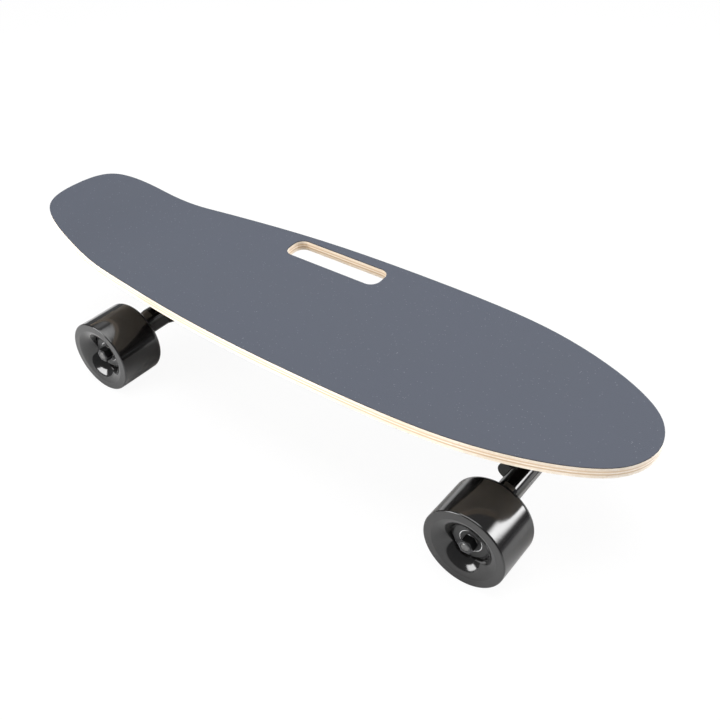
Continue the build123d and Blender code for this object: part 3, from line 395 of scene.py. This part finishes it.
# %% Circuit board finish
finish, tree, shader = new_finish("circuit_board", Coat_Weight=0.6, Coat_Roughness=0.2)
place, _ = object_place(tree)
layout = {"Vector": stretched(tree, place, (420.0, 420.0, 1.0)), "Scale": 1.0}
tracks = wire(tree, "TexBrick", {**layout, "Mortar Size": 0.045, "Mortar Smooth": 0.2}).outputs[1]
pads = sums(tree, "LESS_THAN", cells(tree, place, 260.0), 0.16)
lacquer = blend_colours(tree, tracks, (0.010, 0.085, 0.030, 1), (0.020, 0.150, 0.055, 1))
plug(
    tree,
    shader,
    Base_Color=blend_colours(tree, pads, lacquer, (0.60, 0.58, 0.52, 1)),
    Metallic=sums(tree, "MULTIPLY", pads, 0.9),
    Roughness=rescale(tree, noise(tree, place, 300.0), 0.3, 0.7, 0.30, 0.45),
    Normal=relief(tree, sums(tree, "ADD", tracks, pads), 0.00006, 0.6),
)
finishes["circuit_board"] = finish

# %% Status window finish
LIGHT_COUNT = 4
LIGHT_PITCH = 0.0042
window_low, window_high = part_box("status_window")
window_middle = (window_low + window_high) / 2

finish, tree, shader = new_finish("window", Coat_Weight=0.8, Coat_Roughness=0.05, Specular_IOR_Level=0.5)
place, (x, y, z) = object_place(tree)
from_middle = sums(tree, "SUBTRACT", x, window_middle.x)
steps = sums(tree, "ADD", sums(tree, "DIVIDE", from_middle, LIGHT_PITCH), LIGHT_COUNT / 2)
in_row = sums(tree, "COMPARE", steps, LIGHT_COUNT / 2, LIGHT_COUNT / 2)
sideways = sums(tree, "MULTIPLY", sums(tree, "SUBTRACT", sums(tree, "FRACT", steps), 0.5), LIGHT_PITCH)
upward = sums(tree, "SUBTRACT", z, window_middle.z)
up_squared = sums(tree, "MULTIPLY", upward, upward)
squares = sums(tree, "ADD", sums(tree, "MULTIPLY", sideways, sideways), up_squared)
away = sums(tree, "SQRT", squares)
dots = sums(tree, "MULTIPLY", rescale(tree, away, 0.0007, 0.0011, 1.0, 0.0), in_row)
smoke = blend_colours(tree, noise(tree, place, 200.0), (0.010, 0.010, 0.012, 1), (0.018, 0.018, 0.022, 1))
plug(
    tree,
    shader,
    Base_Color=blend_colours(tree, dots, smoke, (0.40, 0.46, 0.42, 1)),
    Roughness=rescale(tree, noise(tree, place, 90.0), 0.3, 0.7, 0.10, 0.20),
    Normal=relief(tree, dots, 0.00005, 0.4),
)
finishes["window"] = finish
print("window lights:", LIGHT_COUNT, "at", LIGHT_PITCH * 1000, "mm")

# %% [markdown]
# ## Dressing the working model
#
# Each piece of the working model names the finish it takes in the record, so one loop dresses
# them all. Only the finishes are set here, not the shape.

# %% Put the finishes on
slot_of = {part["node"]: part["material_slot"] for part in frame["record"]["subparts"]}
for name, piece in nodes.items():
    piece.data.materials.clear()
    piece.data.materials.append(finishes[slot_of[name]])
print("dressed:", len(slot_of), "pieces in", len(set(slot_of.values())), "finishes")

# %% [markdown]
# ## Turning small parts
#
# Seals, lock rings, screws and bushings are all turned parts, some with a hexagon cut or pressed
# into them. A lathe helper makes every one of them from a profile: rows of distance along the
# axis, radius, and whether that row is round or six-sided. The rows become rings of points, and
# each ring is joined to the next. Modelling by profile keeps the true sizes in sight, and a
# chamfer is just one more row.

# %% A lathe
ROUND, HEX = 0, 6


def frame_along(origin, axis):
    """A placement whose Z runs along an axis."""
    return Matrix.Translation(origin) @ Vector(axis).to_track_quat("Z", "Y").to_matrix().to_4x4()


def ring_radius(radius, sides, angle):
    """Distance from the centre to a circle, or to a polygon with this inner radius."""
    if sides == ROUND:
        return radius
    half = math.pi / sides
    return radius / math.cos((angle % (2 * half)) - half)


def turn(bm, profile, origin, axis, steps=48, closed=False):
    """Adds a turned body to a mesh. Rows are (along, radius, sides) in millimetres."""
    where = frame_along(origin, axis)
    rings = []
    for along, radius, sides in profile:
        ring = []
        for i in range(steps):
            angle = 2 * math.pi * i / steps
            reach = ring_radius(radius, sides, angle)
            spot = Vector((reach * math.cos(angle), reach * math.sin(angle), along)) * MM
            ring.append(bm.verts.new(where @ spot))
        rings.append(ring)
    pairs = list(zip(rings, rings[1:])) + ([(rings[-1], rings[0])] if closed else [])
    for low, high in pairs:
        for i in range(steps):
            j = (i + 1) % steps
            bm.faces.new((low[i], low[j], high[j], high[i]))
    if not closed:
        bm.faces.new(list(reversed(rings[0])))
        bm.faces.new(rings[-1])


def thread(bm, origin, axis, radius, pitch, turns, steps=36):
    """Adds the ridge of a screw thread: a small triangle swept up a helix."""
    where = frame_along(origin, axis)
    depth = pitch * 0.35
    section = ((-pitch * 0.42, -0.15), (0.0, depth), (pitch * 0.42, -0.15))
    rows = []
    for i in range(int(steps * turns) + 1):
        angle = 2 * math.pi * i / steps
        swell = min(1.0, i / 6, (steps * turns - i) / 6)
        row = []
        for up, out in section:
            reach = radius + out * max(swell, 0.05)
            spot = Vector((reach * math.cos(angle), reach * math.sin(angle), pitch * i / steps + up))
            row.append(bm.verts.new(where @ (spot * MM)))
        rows.append(row)
    for low, high in zip(rows, rows[1:]):
        for i in range(3):
            bm.faces.new((low[i], low[(i + 1) % 3], high[(i + 1) % 3], high[i]))
    bm.faces.new(list(reversed(rows[0])))
    bm.faces.new(rows[-1])


def hand_over(name, bm, body, slot, crease=35.0):
    """Turns a mesh being built into a finished piece that rides on a body."""
    bmesh.ops.recalc_face_normals(bm, faces=bm.faces)
    mesh = bpy.data.meshes.new(name)
    bm.to_mesh(mesh)
    bm.free()
    mesh.shade_smooth()
    mesh.set_sharp_from_angle(angle=math.radians(crease))
    mesh.materials.append(finishes[slot])
    piece = show(bpy.data.objects.new(name, mesh))
    if body:
        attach(piece, body)
    return piece


def middle(node):
    """The middle of a piece of the working model."""
    low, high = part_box(node)
    return (low + high) / 2


print("lathe ready")

# %% [markdown]
# ## Bearing seals
#
# A skate bearing's race is closed by a pressed rubber disc with two shallow ripples, which is
# why only a thin bright ring of steel shows around a dark face. Each seal is turned from that
# rippled profile and lies just inside the race, on the outer and inner face of every wheel.

# %% Bearing seals
SEAL = [
    (-0.02, 6.5, ROUND),
    (0.10, 6.6, ROUND),
    (0.16, 6.9, ROUND),
    (0.05, 7.4, ROUND),
    (0.05, 8.9, ROUND),
    (0.16, 9.5, ROUND),
    (0.12, 10.2, ROUND),
    (-0.02, 10.35, ROUND),
]
WHEELS = {
    "front_left": ("front_left_wheel", "front_axle", "front_left_bearings"),
    "front_right": ("front_right_wheel", "front_axle", "front_right_bearings"),
    "rear_right": ("rear_right_wheel", "rear_axle", "rear_right_bearings"),
    "motor": ("motor_wheel", "rear_axle", "rear_left_motor_bearings"),
}
for name, (body, axle, bearings) in WHEELS.items():
    low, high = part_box(bearings)
    centre = middle(axle)
    bm = bmesh.new()
    for y, way in ((low.y, -1), (high.y, 1)):
        turn(bm, SEAL, (centre.x, y, centre.z), (0, way, 0), 64, closed=True)
    hand_over(f"{name}_bearing_seals", bm, body, "cap_rubber", 50.0)
print("seals:", 2 * len(WHEELS))

# %% [markdown]
# ## Lock rings and thread ends
#
# Axle and kingpin nuts are the locking kind: a ring of nylon is crimped into the end of the nut
# and grips the thread. The rings are turned pieces set on the end of each nut, and where a bolt
# sticks out past its nut it shows a turn or so of thread, swept as a real ridge up a helix.

# %% Lock rings and threads
KINGPIN_LEAN = math.radians(15.0)
RING_BACK, RING_UP = 21.0, 14.0  # from the axle to the hanger's ring
AXLE_NUT_END = 0.1165  # out from the middle of the truck
TRUCK_NUT_FACE = 0.08493  # above the ground
trucks = {"front": (middle("front_axle"), 1), "rear": (middle("rear_axle"), -1)}


def kingpin(truck, along):
    """A point on a kingpin, in millimetres up from the middle of the hanger's ring, and its axis."""
    axle, out = trucks[truck]
    up = Vector((out * math.sin(KINGPIN_LEAN), 0, math.cos(KINGPIN_LEAN)))
    ring = axle + Vector((-out * RING_BACK, 0, RING_UP)) * MM
    return ring + up * along * MM, up


def lock_ring(inner, outer, height):
    """Profile of a nylon ring that stands out of the end of a nut."""
    return [
        (-0.3, outer + 0.1, ROUND),
        (height * 0.7, outer, ROUND),
        (height, outer - 0.4, ROUND),
        (height * 0.8, inner + 0.1, ROUND),
        (-0.3, inner, ROUND),
    ]


for truck, (axle, _) in trucks.items():
    bm = bmesh.new()
    for side in (-1, 1):
        nut_end = Vector((axle.x, side * AXLE_NUT_END, axle.z))
        turn(bm, lock_ring(4.05, 5.6, 0.9), nut_end, (0, side, 0), 64, closed=True)
    hand_over(f"{truck}_axle_lock_rings", bm, f"{truck}_truck", "button_plastic", 50.0)
    bm = bmesh.new()
    nut_end, up = kingpin(truck, -23.5)
    turn(bm, lock_ring(4.8, 6.3, 0.6), nut_end, -up, 64, closed=True)
    hand_over(f"{truck}_kingpin_lock_ring", bm, "board", "button_plastic", 50.0)

BOLT_SPREAD = (26.99 * MM, 20.64 * MM)
bm = bmesh.new()
for truck, (axle, _) in trucks.items():
    for i in (-1, 1):
        for j in (-1, 1):
            nut_face = (axle.x + i * BOLT_SPREAD[0], j * BOLT_SPREAD[1], TRUCK_NUT_FACE)
            thread(bm, nut_face, (0, 0, -1), 2.48, 0.7, 1.7)
    pin_end, up = kingpin(truck, -24.1)
    thread(bm, pin_end, -up, 4.74, 0.6, 1.2)
hand_over("bolt_threads", bm, "board", "zinc_steel", 25.0)
print("threads on", 8 + 2, "bolts")

# %% [markdown]
# ## Socket screws
#
# The case and the motor cover are held by small screws with a hexagon socket. Drawn plainly they
# are discs, and the socket is what makes them screws, so each is turned again here with its
# rounded head, its hexagonal hole and its pointed shank, in the place of the plain one.

# %% Socket screws
def socket_screw(shank):
    """Profile of a button-head screw from its tip to the bottom of its socket."""
    return [
        (-shank, 0.3, ROUND),
        (-shank + 0.9, 1.45, ROUND),
        (0.0, 1.45, ROUND),
        (0.0, 2.85, ROUND),
        (0.9, 2.8, ROUND),
        (1.5, 2.35, ROUND),
        (1.75, 1.7, ROUND),
        (1.75, 1.05, HEX),
        (0.7, 1.0, HEX),
    ]


case_low, case_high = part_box("enclosure")
FLANGE_LOW = 0.1005  # the face that the screw heads sit on
SCREW_IN = 0.0045  # from the case's edge to the screws
half_run = (case_high.x - case_low.x) / 2
case_x = (case_high.x + case_low.x) / 2
screw_line = case_high.y - SCREW_IN
screw_step = (half_run - 2 * SCREW_IN) / 2
case_spots = [(case_x + (i - 1.5) * screw_step, side * screw_line) for side in (1, -1) for i in range(4)]
case_spots += [(case_x + end * (half_run - SCREW_IN), 0.0) for end in (1, -1)]
bm = bmesh.new()
for x, y in case_spots:
    turn(bm, socket_screw(11.4), (x, y, FLANGE_LOW), (0, 0, -1), 48)
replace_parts(hand_over("case_socket_screws", bm, "board", "black_bolt"), "enclosure_screws")

COVER_SCREWS = 6
COVER_CIRCLE = 0.0278
COVER_FACE = 0.0705  # out from the middle of the truck
rear_axle = trucks["rear"][0]
bm = bmesh.new()
for i in range(COVER_SCREWS):
    angle = math.radians(360 / COVER_SCREWS * i)
    spot = rear_axle + Vector((math.cos(angle), 0, math.sin(angle))) * COVER_CIRCLE
    turn(bm, socket_screw(5.9), (spot.x, COVER_FACE, spot.z), (0, -1, 0), 48)
motor_screws = hand_over("motor_socket_screws", bm, "motor_wheel", "black_bolt")
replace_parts(motor_screws, "rear_left_motor_cover_screws")
print("socket screws:", len(case_spots) + COVER_SCREWS)

# %% [markdown]
# ## Bushings
#
# Each truck leans on two urethane bushings, a barrel above the hanger's ring and a cone below.
# They are the springs of the board: when the rider leans, the ring tips and squeezes them. They
# are turned with slightly swollen sides, as they look once the kingpin nut is tight.

# %% Bushings
BARREL = [(0, 5.0), (0, 11.6), (0.6, 12.1), (3.5, 12.4), (7, 12.5), (10.5, 12.4)]
BARREL += [(13.4, 12.1), (14, 11.6), (14, 5.0)]
CONE = [(0, 5.0), (0, 11.6), (0.6, 12.2), (3, 12.0), (6, 11.2), (9.5, 9.9)]
CONE += [(10.2, 9.5), (10.5, 9.0), (10.5, 5.0)]
RING_FACE = 4.5

for truck in trucks:
    for part, profile, way in (("upper", BARREL, 1), ("lower", CONE, -1)):
        near, up = kingpin(truck, way * RING_FACE)
        bm = bmesh.new()
        turn(bm, [(a, r, ROUND) for a, r in profile], near, way * up, 64, closed=True)
        bushing = hand_over(f"{truck}_{part}_bushing", bm, None, "bushing_urethane", 50.0)
        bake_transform(bushing)
        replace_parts(bushing, f"{truck}_bushings")
print("bushings:", 2 * len(trucks))

# %% [markdown]
# ## The switch mark
#
# The power button carries the open ring and bar that mean on and off everywhere. It is moulded
# a fifth of a millimetre proud, so a thumb finds it under the board without looking. The ring is
# a square section swept round most of a circle, and the bar is the same section laid straight.

# %% Switch mark
button_low, button_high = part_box("power_button")
button_middle = (button_low + button_high) / 2


MARK_HALF = 0.00022  # half the width of a line
MARK_SUNK, MARK_PROUD = 0.0001, -0.0002  # behind and in front of the button's face
MARK_RADIUS = 0.0019
MARK_STEPS = 40


def sweep_square(bm, spots, sideways):
    """Sweeps a flat strip through spots on the button's face and closes it into a solid."""
    corners = ((-1, MARK_SUNK), (1, MARK_SUNK), (1, MARK_PROUD), (-1, MARK_PROUD))
    rows = []
    for spot, side in zip(spots, sideways):
        rows.append([bm.verts.new(spot + side * s * MARK_HALF + Vector((0, d, 0))) for s, d in corners])
    for a, b in zip(rows, rows[1:]):
        for i in range(4):
            bm.faces.new((a[i], a[(i + 1) % 4], b[(i + 1) % 4], b[i]))
    bm.faces.new(rows[0])
    bm.faces.new(list(reversed(rows[-1])))


face_middle = Vector((button_middle.x, button_low.y, button_middle.z))
bm = bmesh.new()
spokes = []
for i in range(MARK_STEPS + 1):
    angle = math.radians(125 + 290 * i / MARK_STEPS)
    spokes.append(Vector((math.cos(angle), 0, math.sin(angle))))
sweep_square(bm, [face_middle + s * MARK_RADIUS for s in spokes], spokes)
bar = [face_middle + Vector((0, 0, h * MM)) for h in (0.4, 2.3)]
sweep_square(bm, bar, [Vector((1, 0, 0))] * 2)
hand_over("switch_mark", bm, "power_button", "zinc_steel")
print("switch mark on the button at", [round(v, 4) for v in face_middle])

# %% [markdown]
# ## Floor and light
#
# The board stands on a plain pale floor. A tall softbox ahead on the left draws the long streaks
# down the wheels, a squarer one on the right fills the dishes and the deck's near edge, a large
# one overhead lights the deck evenly, and a dim one behind gives the far treads a soft grey.
# Glossy black parts show nothing but these lights, so their places matter more than their power,
# and each light's edges fade out, because a hard edge would show as a hard line on the black.

# %% Floor
PAPER_ENDS = 0.50  # how far ahead the white paper reaches over the darker table
LIFT = 0.94  # how much of the shadow on the paper is lifted


def studio_floor():
    """A pale floor that glows towards the camera only, which lifts the shadows on it and keeps them faint.
    """
    finish, tree, shader = new_finish("floor_paper", Roughness=0.9)
    place, (ahead, _, _) = object_place(tree)
    paper = blend_colours(tree, noise(tree, place, 6.0), (0.80, 0.80, 0.80, 1), (0.83, 0.83, 0.83, 1))
    table = rescale(tree, ahead, PAPER_ENDS, PAPER_ENDS + 0.15, 0.0, 1.0)
    paper = blend_colours(tree, table, paper, (0.16, 0.16, 0.17, 1))
    plug(tree, shader, Base_Color=paper)
    # Glow seen only by camera rays: painted light that lifts the shadows on the paper.
    glow = wire(tree, "Emission", {"Color": (1, 1, 1, 1), "Strength": 1.0})
    seen = wire(tree, "LightPath").outputs["Is Camera Ray"]
    share = sums(tree, "MULTIPLY", seen, LIFT)
    lifted = wire(tree, "MixShader", {0: share, 1: shader.outputs[0], 2: glow.outputs[0]})
    tree.links.new(lifted.outputs[0], tree.nodes["Material Output"].inputs[0])
    return finish


bm = bmesh.new()
bmesh.ops.create_grid(bm, x_segments=2, y_segments=2, size=6.0)
floor_mesh = bpy.data.meshes.new("floor")
bm.to_mesh(floor_mesh)
bm.free()
floor = show(bpy.data.objects.new("floor", floor_mesh))
floor_mesh.materials.append(studio_floor())


# %% Lights
def soft_edge(tree, along, fade):
    """From 0 at both ends of a face to 1 where the fading ends."""
    nearest = sums(tree, "MINIMUM", along, sums(tree, "SUBTRACT", 1.0, along))
    ramp = dict(enumerate((nearest, 0.0, fade, 0.0, 1.0)))
    return wire(tree, "MapRange", ramp, interpolation_type="SMOOTHSTEP").outputs[0]


def softbox(name, spot, aim, width, height, glow, fade=0.12):
    """A rectangular light, given how brightly its face glows and how softly its edges fade."""
    data = bpy.data.lights.new(name, "AREA")
    data.shape = "RECTANGLE"
    data.size, data.size_y = width, height
    data.energy = glow * math.pi * width * height
    data.use_nodes = True
    tree = data.node_tree
    face = wire(tree, "SeparateXYZ", {0: wire(tree, "NewGeometry").outputs["Parametric"]}).outputs
    even = sums(tree, "MULTIPLY", soft_edge(tree, face[0], fade), soft_edge(tree, face[1], fade))
    tree.links.new(even, tree.nodes["Emission"].inputs["Strength"])
    lamp = show(bpy.data.objects.new(name, data))
    spot, aim = Vector(spot), Vector(aim)
    lamp.matrix_world = Matrix.Translation(spot) @ (spot - aim).to_track_quat("Z", "Y").to_matrix().to_4x4()
    lamp.visible_camera = False


softbox("streak_light", (1.26, 0.88, 0.68), (0.25, -0.1, 0.04), 0.46, 1.0, 19.0, 0.3)
softbox("window_light", (-0.90, -1.33, 0.52), (0.0, 0.0, 0.05), 0.90, 0.80, 15.5)
softbox("overhead_light", (0.0, 0.1, 2.0), (0.0, 0.0, 0.0), 2.2, 1.8, 6.4)
softbox("back_light", (-1.35, 1.15, 1.55), (0.0, 0.0, 0.1), 1.5, 1.2, 1.5, 0.5)

world = bpy.data.worlds.new("studio")
world.use_nodes = True
background = world.node_tree.nodes["Background"]
background.inputs["Color"].default_value = (0.95, 0.97, 1.0, 1)
background.inputs["Strength"].default_value = 0.35
bpy.context.scene.world = world
bpy.context.scene.view_settings.view_transform = "Standard"
bpy.context.scene.view_settings.look = "None"
